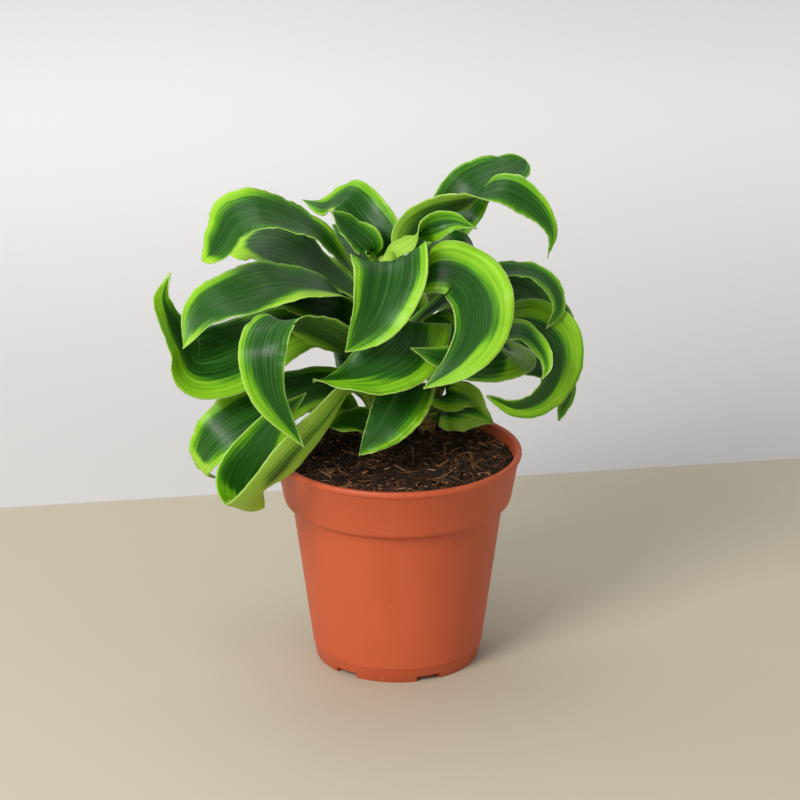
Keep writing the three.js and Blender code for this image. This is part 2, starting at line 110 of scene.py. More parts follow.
class Tone:
    """A shader socket in an expression. Its operators add the maths nodes."""

    def __init__(self, tree, socket):
        self.tree = tree
        self.socket = socket

    def node(self, kind, settings, **sockets):
        """Adds a node: its settings first, then its sockets' values or links.

        A socket goes by its name, or by i and its number. A ramp's stops are one of its settings.
        """
        made = self.tree.nodes.new(kind)
        stops = settings.pop("stops", None)
        for key, value in settings.items():
            setattr(made, key, value)
        for key, value in sockets.items():
            numbered = key[1:].isdigit()
            socket = made.inputs[int(key[1:]) if numbered else key.replace("_", " ")]
            if isinstance(value, Tone):
                self.tree.links.new(value.socket, socket)
            else:
                socket.default_value = value
        if stops:
            ramp = made.color_ramp
            for spare in list(ramp.elements)[1:]:
                ramp.elements.remove(spare)
            ramp.elements[0].position = stops[0][0]
            ramp.elements[0].color = (*stops[0][1], 1)
            for place, colour in stops[1:]:
                ramp.elements.new(place).color = (*colour, 1)
        return made

    def maths(self, operation, *values):
        """A Math node of that operation on the values."""
        sockets = {f"i{i}": value for i, value in enumerate(values)}
        made = self.node("ShaderNodeMath", {"operation": operation}, **sockets)
        return Tone(self.tree, made.outputs[0])

    def __add__(self, other):
        return self.maths("ADD", self, other)

    def __sub__(self, other):
        return self.maths("SUBTRACT", self, other)

    def __mul__(self, other):
        return self.maths("MULTIPLY", self, other)

    def __rsub__(self, other):
        return self.maths("SUBTRACT", other, self)

    def __abs__(self):
        return self.maths("ABSOLUTE", self)

    __radd__ = __add__
    __rmul__ = __mul__

    def rise(self, low, high):
        """A smooth rise from 0 at low to 1 at high."""
        made = self.node(
            "ShaderNodeMapRange", {"interpolation_type": "SMOOTHSTEP"},
            Value=self, From_Min=low, From_Max=high)
        return Tone(self.tree, made.outputs[0])

    def blend(self, colour_a, colour_b):
        """colour_a where this is 0, and colour_b where it is 1."""
        made = self.node(
            "ShaderNodeMix", {"data_type": "RGBA"},
            i0=self,
            i6=colour_a if isinstance(colour_a, Tone) else (*colour_a, 1),
            i7=colour_b if isinstance(colour_b, Tone) else (*colour_b, 1))
        return Tone(self.tree, made.outputs[2])

    def stretched(self, across, along, up):
        """This vector with its three parts scaled."""
        made = self.node(
            "ShaderNodeVectorMath", {"operation": "MULTIPLY"}, i0=self, i1=(across, along, up))
        return Tone(self.tree, made.outputs[0])

    def grain(self, scale, detail=3, roughness=0.5):
        """Noise from 0 to 1 at this position, with scale grains to each unit of it."""
        made = self.node(
            "ShaderNodeTexNoise", {}, Vector=self, Scale=scale, Detail=detail, Roughness=roughness)
        return Tone(self.tree, made.outputs[0])


def finish(name, **constants):
    """A new material, its node tree, and its Principled shader with the constants set."""
    material = bpy.data.materials.new(name)
    material.use_nodes = True
    shader = material.node_tree.nodes["Principled BSDF"]
    for key, value in constants.items():
        shader.inputs[key.replace("_", " ")].default_value = value
    return material, Tone(material.node_tree, None), shader


def where(tree, wanted="Object"):
    """The Object coordinates, or the piece's own attribute of that name."""
    if wanted == "Object":
        made = tree.node("ShaderNodeTexCoord", {})
        return Tone(tree.tree, made.outputs["Object"])
    made = tree.node("ShaderNodeAttribute", {"attribute_name": wanted})
    return Tone(tree.tree, made.outputs["Vector"])


def parts(tree, vector):
    """The three parts of a vector."""
    made = tree.node("ShaderNodeSeparateXYZ", {}, i0=vector)
    return [Tone(tree.tree, socket) for socket in made.outputs]


def paint(tree, shader, relief=None, depth=0.1, **sockets):
    """Links what varies to the shader: its sockets, and a relief of some millimetres in depth."""
    for key, value in sockets.items():
        tree.tree.links.new(value.socket, shader.inputs[key.replace("_", " ")])
    if relief is not None:
        bump = tree.node("ShaderNodeBump", {}, Strength=1.0, Distance=depth * MM, Height=relief)
        tree.tree.links.new(bump.outputs[0], shader.inputs["Normal"])


def terracotta_plastic():
    """Satin polypropylene: a faint flow mottle, finely pebbled, paler where it has been rubbed."""
    material, tree, shader = finish("terracotta_plastic", IOR=1.49, Coat_Weight=0.0)
    place = where(tree)
    height = parts(tree, place)[2]
    flow = place.stretched(1, 1, 0.35).grain(60, 4)
    pebble = place.grain(2600, 2)
    scuff = place.stretched(1, 1, 2.5).grain(210, 5, 0.62).rise(0.63, 0.76)
    dust = place.grain(900, 3).rise(0.68, 0.75)
    body = flow.blend(DEEP_TERRACOTTA, BRIGHT_TERRACOTTA)
    rubbed = (scuff * 0.35).blend(body, RUBBED_TERRACOTTA)
    dusty = (dust * (1 - height.rise(0.0, DUST_REACH)) * 0.3).blend(rubbed, POT_DUST)
    paint(
        tree, shader, relief=pebble * 0.6 + flow * 2, depth=0.05,
        Base_Color=dusty, Roughness=0.44 + flow * 0.12 + scuff * 0.1)
    return material


pot_shape = spin_profile(POT_PROFILE, POT_STEPS)
pot = new_piece("nursery_pot", pot_shape, terracotta_plastic(), "pot", "pot")
cutters = bmesh.new()
for i in range(NOTCHES):
    turn = Matrix.Rotation(math.radians(NOTCH_FIRST_ANGLE + i * 360 / NOTCHES), 4, "Z")
    notch_size = Matrix.Diagonal((NOTCH_WIDTH * MM, NOTCH_DEPTH * MM, 2 * NOTCH_HEIGHT * MM, 1))
    notch_place = turn @ Matrix.Translation((0, (NOTCH_INSET - FOOT_RADIUS) * MM, 0))
    bmesh.ops.create_cube(cutters, size=1, matrix=notch_place @ notch_size)
    hole_place = turn @ Matrix.Translation((0, -DRAIN_HOLE_CIRCLE * MM, FLOOR_Z * MM))
    bmesh.ops.create_cone(
        cutters, segments=DRAIN_HOLE_SIDES, radius1=DRAIN_HOLE_RADIUS * MM,
        radius2=DRAIN_HOLE_RADIUS * MM, depth=DRAIN_CUT_HEIGHT * MM, cap_ends=True, matrix=hole_place)
cutter_mesh = bpy.data.meshes.new("notch_cutters")
cutters.to_mesh(cutter_mesh)
cutters.free()
cutter = bpy.data.objects.new("notch_cutters", cutter_mesh)
bpy.context.scene.collection.objects.link(cutter)
cut = pot.modifiers.new("notches", "BOOLEAN")
cut.operation = "DIFFERENCE"
cut.solver = "EXACT"
cut.object = cutter
cut_mesh = bpy.data.meshes.new_from_object(pot.evaluated_get(bpy.context.evaluated_depsgraph_get()))
pot.modifiers.remove(cut)
pot.data = cut_mesh
bpy.data.objects.remove(cutter)
soften = pot.modifiers.new("soft_edges", "BEVEL")
soften.width = EDGE_ROUNDING * MM
soften.segments = EDGE_SEGMENTS
soften.limit_method = "ANGLE"
soften.angle_limit = math.radians(SHARP_ANGLE)

# --------------------------------------------------------------------------------------- soil
# Coarse, damp potting mix of peat and coir: dark crumbs, a little heaped, with tan fibres and
# chips of husk lying on top. It fills the pot to just under the lip, and the stems stand in it.

SOIL_EDGE_Z = 101
SOIL_HEAP = 4
SOIL_HEAP_RADIUS = 58.7
SOIL_LUMP = 1.1
SOIL_EDGE_RADIUS = 56.2
SOIL_WALL = ((AXIS, 5.1), (37.7, 5.1), (39.1, 7.3), (48.9, 80), (53.2, 85), (56.0, 100.2))
SOIL_RINGS = 60
SOIL_STEPS = 220
SOIL_SKIN = 0.1
CRUMBS_PER_MM = 0.33
CRUMB_HEIGHT = 2.4
CRUMB_OCTAVES = 4
CLODS_PER_MM = 0.13
CLOD_HEIGHT = 1.6
GAPS_PER_MM = 0.42
GAP_DEPTH = 2.4
WIDEST_GAP = 0.9
CRUMB_LIFT = 0.1
# Near-black: painted shade for the hollows between crumbs.
SOIL_HOLLOW_PAINTED_SHADE = (0.0045, 0.0022, 0.0010)
SOIL_CRUMB = (0.068, 0.027, 0.0090)
SOIL_SPECK = (0.22, 0.095, 0.032)
LITTER_BROWNS = (
    (0.0, (0.020, 0.009, 0.004)), (0.35, (0.090, 0.036, 0.012)), (0.7, (0.30, 0.125, 0.042)),
    (1.0, (0.56, 0.28, 0.12)))
LITTER_SEED = 11
LANDING_REACH = 53.5  # the radius in which each bit of litter lies
LITTER_REACH = 55  # the radius that no fibre sticks out of
LITTER_LEAN = 16
FIBRES = 1300
FIBRE_LENGTHS = (2.5, 15)
FIBRE_GIRTHS = (0.10, 0.36)
FIBRE_TAPER = 0.4
FIBRE_CUTS = 5
FIBRE_SWAY = 0.55
FIBRE_BALANCE = 0.08  # keeps the middle of a bent fibre on its place
FIBRE_DROOP = 0.10
FIBRE_LIFT = 0.25
FIBRE_DARKNESS = 1.4  # the higher, the more of them are dark
CHIPS = 620
CHIP_SIZES = (0.7, 2.6)
BIG_CHIPS = 0.10
BIG_CHIP_SCALE = 1.6
CHIP_STRETCHES = ((1.0, 2.6), (0.6, 1.2), (0.35, 0.8))
CHIP_JOLT = 0.14
CHIP_PALEST = 0.85
CHIP_DARKNESS = 2.6


def soil_top(x, y):
    """The height of the soil's top over the point x, y: a heap with uneven waves, but no crumbs."""
    edge = math.hypot(x, y) / SOIL_HEAP_RADIUS
    lumps = math.sin(x * 0.31 + 1.3) * math.cos(y * 0.27) + 0.7 * math.sin(x * 0.13 - y * 0.37 + 2)
    return SOIL_EDGE_Z + SOIL_HEAP * (1 - edge * edge) + SOIL_LUMP * lumps * (1 - edge ** 4)


def crumbs(x, y):
    """The crumbs' height above the soil's top: mostly from -3 to 1, and from -5 to 2.5 at most."""
    rough = noise.turbulence(
        Vector((x * CRUMBS_PER_MM, y * CRUMBS_PER_MM, 0.5)), CRUMB_OCTAVES, False,
        noise_basis="PERLIN_ORIGINAL")
    clods = noise.noise(Vector((x * CLODS_PER_MM, y * CLODS_PER_MM, 4)))
    gaps = noise.voronoi(Vector((x * GAPS_PER_MM, y * GAPS_PER_MM, 0)))[0][0]
    return CRUMB_HEIGHT * rough + CLOD_HEIGHT * clods - GAP_DEPTH * min(gaps, WIDEST_GAP) + CRUMB_LIFT


def potting_mix():
    """Dark brown crumbs with near-black patches painted as the shade in hollows, and paler, fibrous
    specks.
    """
    material, tree, shader = finish("potting_mix", IOR=1.4)
    place = where(tree)
    coarse = place.grain(330, 5, 0.65)
    fine = place.grain(1500, 4, 0.7)
    specks = place.stretched(1, 2.2, 1).grain(900, 3).rise(0.60, 0.70)
    # Painted shade: near-black patches stand for the shade in the hollows between crumbs.
    crumbs_with_painted_shade = coarse.rise(0.38, 0.68).blend(SOIL_HOLLOW_PAINTED_SHADE, SOIL_CRUMB)
    speckled = (specks * 0.5).blend(crumbs_with_painted_shade, SOIL_SPECK)
    paint(
        tree, shader, relief=coarse * 3 + fine, depth=0.7,
        Base_Color=speckled, Roughness=0.72 + fine * 0.25)
    return material


def litter_finish():
    """Coir and bark: each bit has its own brown, from near black to orange tan."""
    material, tree, shader = finish("coir_and_bark", IOR=1.4)
    tone, age = parts(tree, where(tree, "litter"))[:2]
    grain = where(tree).grain(2200, 3)
    ramp = tree.node("ShaderNodeValToRGB", {"stops": LITTER_BROWNS}, Fac=tone * (0.75 + grain * 0.5))
    paint(
        tree, shader, relief=grain, depth=0.15,
        Base_Color=Tone(tree.tree, ramp.outputs[0]), Roughness=0.6 + age * 0.35)
    return material


soil_rings = tuple(
    (SOIL_EDGE_RADIUS * (1 - i / SOIL_RINGS) + AXIS, SOIL_EDGE_Z) for i in range(SOIL_RINGS + 1))
soil_shape = spin_profile(SOIL_WALL + soil_rings, SOIL_STEPS)
for vert in soil_shape.verts:
    x, y = vert.co.x / MM, vert.co.y / MM
    if vert.co.z > (SOIL_EDGE_Z - SOIL_SKIN) * MM:
        vert.co.z = (soil_top(x, y) + crumbs(x, y)) * MM
new_piece("potting_soil", soil_shape, potting_mix(), "soil", "soil")

draw = random.Random(LITTER_SEED)


def scatter_place():
    """A random place on the crumbs, with a random heading and lean."""
    radius = LANDING_REACH * math.sqrt(draw.random())
    around = draw.uniform(0, math.tau)
    x, y = radius * math.cos(around), radius * math.sin(around)
    heading = Matrix.Rotation(draw.uniform(0, math.tau), 4, "Z")
    lean = Matrix.Rotation(math.radians(draw.gauss(0, LITTER_LEAN)), 4, "Y")
    z = soil_top(x, y) + crumbs(x, y)
    return Matrix.Translation((x * MM, y * MM, z * MM)) @ heading @ lean


def copies(bit, count):
    """A mesh of that many copies of the bit, its litter attribute, and the vertices of each copy."""
    mesh = bpy.data.meshes.new("bit")
    bit.to_mesh(mesh)
    bit.free()
    heap = bmesh.new()
    for _ in range(count):
        heap.from_mesh(mesh)
    each = len(mesh.vertices)
    bpy.data.meshes.remove(mesh)
    tone = heap.verts.layers.float_vector.new("litter")
    heap.verts.ensure_lookup_table()
    return heap, tone, [heap.verts[i * each:(i + 1) * each] for i in range(count)]


fibre = bmesh.new()
bmesh.ops.create_cone(
    fibre, segments=4, radius1=1, radius2=FIBRE_TAPER, depth=1, cap_ends=True,
    matrix=Matrix.Rotation(math.pi / 2, 4, "Y"))
rails = [edge for edge in fibre.edges if abs(edge.verts[0].co.x - edge.verts[1].co.x) > 0.5]
bmesh.ops.subdivide_edges(fibre, edges=rails, cuts=FIBRE_CUTS)
fibres, fibre_tone, strands = copies(fibre, FIBRES)
for strand in strands:
    length = draw.uniform(*FIBRE_LENGTHS) * MM
    girth = draw.uniform(*FIBRE_GIRTHS) * MM
    sway = draw.gauss(0, FIBRE_SWAY)
    tone = draw.random() ** FIBRE_DARKNESS
    age = draw.random()
    place = scatter_place() @ Matrix.Translation((0, 0, FIBRE_LIFT * MM))
    for vert in strand:
        share = vert.co.x
        bend = sway * length * (share * share - FIBRE_BALANCE) * 2
        droop = FIBRE_DROOP * length * share * share
        vert.co = place @ Vector((share * length, vert.co.y * girth + bend, vert.co.z * girth - droop))
        inside = min(1, LITTER_REACH * MM / max(vert.co.xy.length, MM))
        vert.co.xy *= inside
        vert[fibre_tone] = (tone, age, 0)
bark_finish = litter_finish()
new_piece("coir_fibres", fibres, bark_finish, "soil")

chip = bmesh.new()
bmesh.ops.create_icosphere(chip, subdivisions=1, radius=0.5)
chips, chip_tone, lumps = copies(chip, CHIPS)
for lump in lumps:
    size = draw.uniform(*CHIP_SIZES) * (BIG_CHIP_SCALE if draw.random() < BIG_CHIPS else 1)
    stretch = Vector([draw.uniform(*limits) for limits in CHIP_STRETCHES])
    tone = CHIP_PALEST * draw.random() ** CHIP_DARKNESS
    age = draw.random()
    place = scatter_place()
    for vert in lump:
        jolt = Vector([draw.uniform(-CHIP_JOLT, CHIP_JOLT) for _ in range(3)])
        vert.co = place @ ((vert.co + jolt) * stretch * size * MM)
        vert[chip_tone] = (tone, age, 0)
new_piece("bark_chips", chips, bark_finish, "soil")

# -------------------------------------------------------------------------------------- stems
# Two green canes, rooted in the soil. Each is ringed by the scars of the leaves that it shed,
# straw-coloured at its foot and green above, and most of it is hidden by the leaves it carries.

MAIN_STEM = dict(
    foot_radius=6.4, tip_radius=3.4,
    path=((-9, 7, 71), (-9, 6, 104), (-7, 3, 150), (-6, 2, 202)))
SIDE_STEM = dict(
    foot_radius=5.2, tip_radius=3,
    path=((13, 35, 71), (14, 34, 104), (19, 27, 136), (25, 18, 172)))
CANE_RINGS = 170
CANE_STEPS = 40
CANE_END_INSET = 1.5
SCARS_PER_MM = 0.27
SCAR_DEPTH = 0.16
CANE_TIP_SHARE = 0.6
CANE_TIP_ROUNDING = 0.3
GREENING_FROM = 0.104
GREENING_TO = 0.165
CANE_STRAW = (0.34, 0.22, 0.06)
CANE_GREEN = (0.20, 0.33, 0.055)
CANE_STREAK = (0.42, 0.40, 0.12)
SCAR_TAN = (0.22, 0.12, 0.045)


def mix(a, b, share):
    """a where the share is 0, and b where it is 1."""
    return a + (b - a) * share


def smooth(value, low, high):
    """A smooth rise from 0 at low to 1 at high."""
    share = min(max((value - low) / (high - low), 0), 1)
    return share * share * (3 - 2 * share)


def stem_centre(stem, z):
    """The middle of the stem at height z."""
    path = stem["path"]
    i = 1
    while i < len(path) - 1 and z > path[i][2]:
        i += 1
    low, high = path[i - 1], path[i]
    share = (z - low[2]) / (high[2] - low[2])
    return Vector((mix(low[0], high[0], share), mix(low[1], high[1], share), z))


def stem_radius(stem, z):
    """The stem's radius at height z."""
    risen = smooth(z, stem["path"][0][2], stem["path"][-1][2])
    return mix(stem["foot_radius"], stem["tip_radius"], risen)


def cane():
    """Straw at the foot, green towards the top, with a tan line at every scar."""
    material, tree, shader = finish("leafy_cane", IOR=1.45)
    place = where(tree)
    height = parts(tree, place)[2]
    streak = place.stretched(1, 1, 0.12).grain(700, 3)
    rings = (height + streak * 0.0006) * (SCARS_PER_MM / MM)
    ring = abs(rings.maths("FRACT", rings) - 0.5).rise(0.38, 0.5)
    skin = height.rise(GREENING_FROM, GREENING_TO).blend(CANE_STRAW, CANE_GREEN)
    streaked = (streak.rise(0.4, 0.7) * 0.5).blend(skin, CANE_STREAK)
    scarred = (ring * 0.7).blend(streaked, SCAR_TAN)
    paint(
        tree, shader, relief=streak - ring * 2, depth=0.25,
        Base_Color=scarred, Roughness=0.5 + ring * 0.2)
    return material


cane_finish = cane()
for stem, name in ((MAIN_STEM, "main_stem"), (SIDE_STEM, "side_stem")):
    foot, tip = stem["path"][0][2], stem["path"][-1][2]
    profile = [(AXIS, foot), (stem["foot_radius"] - CANE_END_INSET, foot)]
    for i in range(CANE_RINGS + 1):
        z = mix(foot + CANE_END_INSET, tip - CANE_END_INSET, i / CANE_RINGS)
        swell = SCAR_DEPTH * abs(math.sin(z * SCARS_PER_MM * math.pi)) - SCAR_DEPTH
        profile.append((stem_radius(stem, z) + swell, z))
    profile += [(stem["tip_radius"] * CANE_TIP_SHARE, tip - CANE_TIP_ROUNDING), (AXIS, tip)]
    shape = spin_profile(profile, CANE_STEPS)
    for vert in shape.verts:
        centre = stem_centre(stem, vert.co.z / MM)
        vert.co.x += centre.x * MM
        vert.co.y += centre.y * MM
    new_piece(name + "_cane", shape, cane_finish, "stem", name)

# ------------------------------------------------------------------------------------- leaves
# Strap leaves, one blade each, that clasp a cane, arch out and twist. The blade is leathery and
# glossy: dark green and finely veined, with lime margins that run into it in streaks.

BLADE_THICKNESS = 0.7
MARGIN_THICKNESS = 0.35
CLASP_WIDTH = 7.5
CLASP_RISE = 8
CLASP_REACH = 5
CLASP_SHARE = 0.3
TIP_WIDTH = 0.5
SEAT_CLEARANCE = 0.75
THIN_MARGIN = 3.5  # how far in from the margin the blade reaches its full thickness
BLADE_ROWS = 120
BLADE_COLUMNS = 20
CURVE_STEPS = 200
HEADING_STEP = 0.0001
BEND_STEP = 0.004
INNER_REACH = 0.82  # the inner margin of a bent blade stops at this share of the bend's radius
OPENING_SHARE = 0.8  # the blade is at its full width from this share of its peak
RIPPLES_FROM = 0.15  # the margins begin to ripple here, and do so in full at RIPPLES_TO
RIPPLES_TO = 0.4
RIPPLE_HEIGHT = 0.9
RIPPLE_WAVES = 2.5
WAVER_HEIGHT = 1.5
WAVERS_PER_MM = 0.11
CRIMP_HEIGHT = 0.8
CRIMPS_PER_MM = 0.33
NIBBLE_DEPTH = 0.3
NIBBLES_PER_MM = 0.45
KEEL_DEPTH = 0.35
KEEL_WIDTH = 2.2
KEEL_FROM = 0.3  # the keel begins to run out here, and has gone at KEEL_TO
KEEL_TO = 0.9
CUP_LOSS = 0.5  # the share of its cup that a blade has lost at its tip
SHUT_SHARE = 0.6  # the share of a closed place's reach in which it is quite closed
SHUT_SINK = 0.9
SHUT_MARGIN = 9
LIME_WANDER = 1.3
WANDERS_PER_MM = 0.03
LIME_MEETING = 0.25
FADE_REACH = 0.2
FADED_LIME = 0.25
# Where in the noise each pattern is read, so that sides, patterns and leaves differ.
NIBBLE_LINE = 7
WANDER_LINE = 5
WAVER_SPREAD = 0.7
CRIMP_SPREAD = 1.5
CRIMP_SHIFT = 9
WANDER_SHIFT = 1.7
GRAIN_SHIFT = 3.7
VIEW_TILT = math.radians(20)
FRONT = Vector((0, -math.cos(VIEW_TILT), math.sin(VIEW_TILT)))
UP = Vector((0, 0, 1))

# Each leaf has its root's height on the cane, its widest width, its cup (the half angle of the arc
# across it), the widths of the lime on its left and right margins, and the places that its midrib
# runs through, as (x, y, z, turn). A turn of 0 shows the upper face to the front. Some leaves also
# have the following, with places and reaches along the blade as shares of its length:
#   peak    where the blade is widest and begins to close; without it, halfway
#   point   the tip's shape: under 1 it is blunt, and over 1 it is drawn out
#   flush   the middle and reach of a flush of lime over the whole blade, and its strength, in
#           millimetres into the lime
#   ripest  how far the lime may ripen, in millimetres into it
#   fade    where the lime begins to fade towards the tip
#   pallor  how pale the underside is
#   frill   the size of the margins' waves, where 1 is usual
#   bowl    the middle and reach of a place that is cupped more, and by how many degrees
#   closed  the middle and reach of a place where one margin is tucked under and has no lime, and
#           its side, as 1 or -1
MAIN_LEAVES = (
    dict(root=196, width=18, cup=40, lime=(2.0, 2.2), pallor=0.1,
         run=((-14, 2, 206, -40), (-22, 2, 214, -45), (-32, 0, 225, -50))),
    dict(root=193, width=16, cup=40, lime=(3.2, 3.2), pallor=0.8,
         run=((-3, -5, 207, -125), (6, -7, 213, -110), (16, -7, 219, -30), (27, -7, 221, 35),
              (37, -8, 218, 55))),
    dict(root=190, width=24, cup=18, lime=(2.2, 4.0),
         run=((-7, 13, 207, 0), (-15, 18, 216, 0), (-24, 22, 225, -30), (-35, 30, 219, -50),
              (-46, 36, 220, -60))),
    dict(root=186, width=38, cup=45, peak=0.4, lime=(4.5, 3.4),
         run=((-3, -30, 209, -10), (-4, -42, 203, 0), (-9, -50, 190, 5), (-17, -50, 179, 10),
              (-24, -48, 171, 10))),
    dict(root=182, width=23, cup=18, point=1.4, lime=(1.6, 2.6), pallor=0.4,
         run=((5, 11, 210, 140), (14, 12, 218, 128), (31, 12, 225, 104), (50, 10, 232, 42),
              (66, 8, 223, 20), (73, 6, 212, 0), (71, 5, 200, 0))),
    dict(root=178, width=29, cup=22, peak=0.7, point=0.6, lime=(1.5, 4.0), flush=(1, 0.1, 8),
         run=((-27, -4, 203, -66), (-39, -8, 217, -70), (-53, -12, 225, -54), (-65, -16, 229, -45),
              (-76, -18, 226, -38), (-82, -18, 216, -38), (-91, -16, 205, -35))),
    dict(root=176, width=18, cup=30, lime=(1.6, 2.0),
         run=((22, 9, 203, 30), (29, 9, 208, 50), (35, 14, 204, 70), (36, 12, 196, 60))),
    dict(root=160, width=31, cup=14, lime=(9.0, 1.2), flush=(0.40, 0.16, 5), ripest=3,
         run=((17, -21, 202, 45), (31, -25, 201, 30), (39, -34, 192, 5), (38, -42, 178, 0),
              (29, -48, 166, -5), (12, -50, 154, 0))),
    dict(root=170, width=26, cup=20, peak=0.8, point=0.5, lime=(1.3, 1.6),
         run=((28, 31, 216, 10), (36, 33, 227, 25), (43, 35, 231, 38), (53, 38, 234, 38),
              (62, 44, 237, 30))),
    dict(root=158, width=38, cup=18, lime=(8.0, 3.2), fade=1, frill=0.5,
         run=((-29, -10, 188, -84), (-48, -18, 194, -68), (-57, -22, 195, -52), (-69, -26, 193, -42),
              (-89, -33, 187, -35), (-99, -40, 170, -10))),
    dict(root=153, width=37, cup=18, peak=0.4, lime=(10.0, 1.0), flush=(0.44, 0.2, 4), ripest=2.2,
         run=((7, -22, 177, 25), (3, -34, 168, 10), (-12, -42, 160, -15), (-26, -46, 157, -50),
              (-39, -47, 157, -50))),
    dict(root=168, width=34, cup=20, peak=0.75, point=0.7, lime=(2.0, 2.2), flush=(0.97, 0.2, 14),
         run=((-33, 19, 187, -60), (-47, 16, 198, -55), (-61, 18, 203, -50), (-73, 18, 202, -45),
              (-80, 18, 198, -40))),
    dict(root=156, width=19, cup=25, lime=(1.8, 2.0),
         run=((49, 4, 193, 60), (63, 4, 193, 60), (73, 1, 187, 50), (76, -4, 178, 30),
              (70, -11, 170, 0))),
    dict(root=139, width=26, cup=18, lime=(2.4, 2.4),
         run=((14, -5, 160, 50), (19, -8, 169, 45), (23, -11, 167, 30), (23, -12, 158, 10))),
    dict(root=147, width=26, cup=20, lime=(2.6, 2.6),
         run=((-25, 2, 173, -60), (-40, -4, 179, -50), (-55, -8, 182, -50), (-62, -6, 180, -60))),
    dict(root=143, width=37, cup=14, peak=0.54, point=1.3, lime=(12.0, 2.2),
         ripest=2.4, closed=(0.67, 0.14, 1), frill=0.6,
         run=((-46, -11, 169, -50), (-68, -22, 164, -30), (-86, -31, 159, -22), (-94, -34, 160, -32),
              (-100, -33, 170, -55), (-107, -33, 184, -52), (-109, -32, 192, -35),
              (-105, -28, 203, -30))),
    dict(root=139, width=26, cup=16, lime=(1.0, 4.0),
         run=((-25, -28, 167, -130), (-42, -44, 182, -120), (-55, -52, 187, -60), (-61, -63, 177, -10),
              (-59, -67, 158, 0), (-43, -68, 132, 10))),
    dict(root=129, width=20, cup=20, lime=(2, 2),
         run=((-20, 7, 146, -60), (-28, 11, 147, -40), (-26, 13, 138, -20))),
    dict(root=125, width=30, cup=16, lime=(5.0, 2.6), flush=(0.9, 0.09, 14),
         run=((-25, -6, 141, -50), (-46, -18, 141, -40), (-66, -30, 135, -25), (-86, -36, 124, -15),
              (-93, -28, 106, -60), (-86, -20, 98, -120))),
    dict(root=127, width=26, cup=16, lime=(4.0, 1.0), frill=1.8,
         run=((5, -16, 144, 30), (2, -26, 139, 10), (-5, -34, 130, 0), (-18, -36, 116, 0))),
    # This leaf's lime flush and pallor at its cupped belly are partly painted light, for the light that
    # shines through the blade there.
    dict(root=123, width=24, cup=14, peak=0.7, lime=(2.0, 2.4), flush=(0.63, 0.11, 22),
         ripest=2.2, bowl=(0.64, 0.16, 26), pallor=0.62, frill=0.25,
         run=((-21, -34, 150, -125), (-36, -50, 137, -125), (-51, -59, 122, -120), (-66, -61, 105, -105),
              (-73, -54, 96, -80), (-74, -48, 109, -20), (-64, -48, 125, 0), (-53, -49, 141, 0),
              (-42, -50, 152, 0))),
    dict(root=107, width=20, cup=20, lime=(2.4, 2.4),
         run=((-13, -10, 120, -60), (-22, -16, 125, -50), (-33, -20, 124, -40))),
)
SIDE_LEAVES = (
    dict(root=134, width=24, cup=14, lime=(4.5, 2.0), flush=(0.47, 0.16, 18), ripest=3, fade=0.6,
         run=((39, 8, 153, 40), (52, 3, 154, 70), (54, -12, 157, -20), (41, -26, 159, -15),
              (22, -37, 164, -10), (6, -42, 171, 0))),
    dict(root=166, width=21, cup=20, lime=(1.2, 1.6),
         run=((47, 18, 182, 30), (60, 19, 180, 30), (70, 14, 173, 30), (73, 11, 165, 20))),
    dict(root=160, width=15, cup=20, lime=(3.0, 1.5),
         run=((45, -18, 171, 50), (59, -22, 172, 35), (68, -26, 164, 20), (70, -28, 157, 0),
              (68, -28, 151, -10))),
    dict(root=147, width=28, cup=30, lime=(9.5, 1.6), ripest=2.2,
         run=((53, -2, 170, 50), (65, -7, 172, 45), (74, -10, 164, 35), (76, -16, 152, 40),
              (70, -22, 141, 40), (57, -26, 136, 45), (42, -26, 142, 60))),
    dict(root=140, width=22, cup=20, lime=(1.5, 2),
         run=((50, 28, 168, 40), (77, 28, 169, 50), (83, 30, 159, 40), (85, 30, 151, 20))),
    dict(root=127, width=24, cup=20, lime=(1.8, 1.8),
         run=((50, 27, 143, 40), (77, 22, 139, 50), (82, 24, 126, 30), (79, 24, 111, 20))),
    dict(root=116, width=18, cup=20, lime=(3.0, 3.0), flush=(0.6, 0.5, 5),
         run=((26, 18, 127, 15), (33, 20, 125, 20), (39, 21, 120, 25))),
    dict(root=108, width=32, cup=18, peak=0.4, point=1.2, lime=(4.0, 4.0), flush=(0.6, 0.5, 5),
         run=((25, 28, 117, 35), (35, 29, 115, 35), (42, 29, 111, 32), (47, 28, 108, 30))),
)

# The leaves behind are kin to leaves at the front. Each is given as the number of the leaf that it
# is like, its own height on the cane, and the degrees by which it is swung about the cane.
MAIN_BACK_LEAVES = (
    (6, 152, -97), (10, 140, -76), (8, 132, 118), (10, 122, -97), (19, 108, -52), (20, 118, 170))
SIDE_BACK_LEAVES = ((2, 171, 100), (3, 146, 140), (2, 120, 52))

# What a leaf has where its row says nothing else. A flush, bowl or closed place that it doesn't
# have lies at its root, out of sight in the clasp.
USUAL_LEAF = dict(peak=0.5, point=1, ripest=99, fade=0.85, pallor=0, frill=1, swing=0)
AT_THE_ROOT = (0, 0.01)

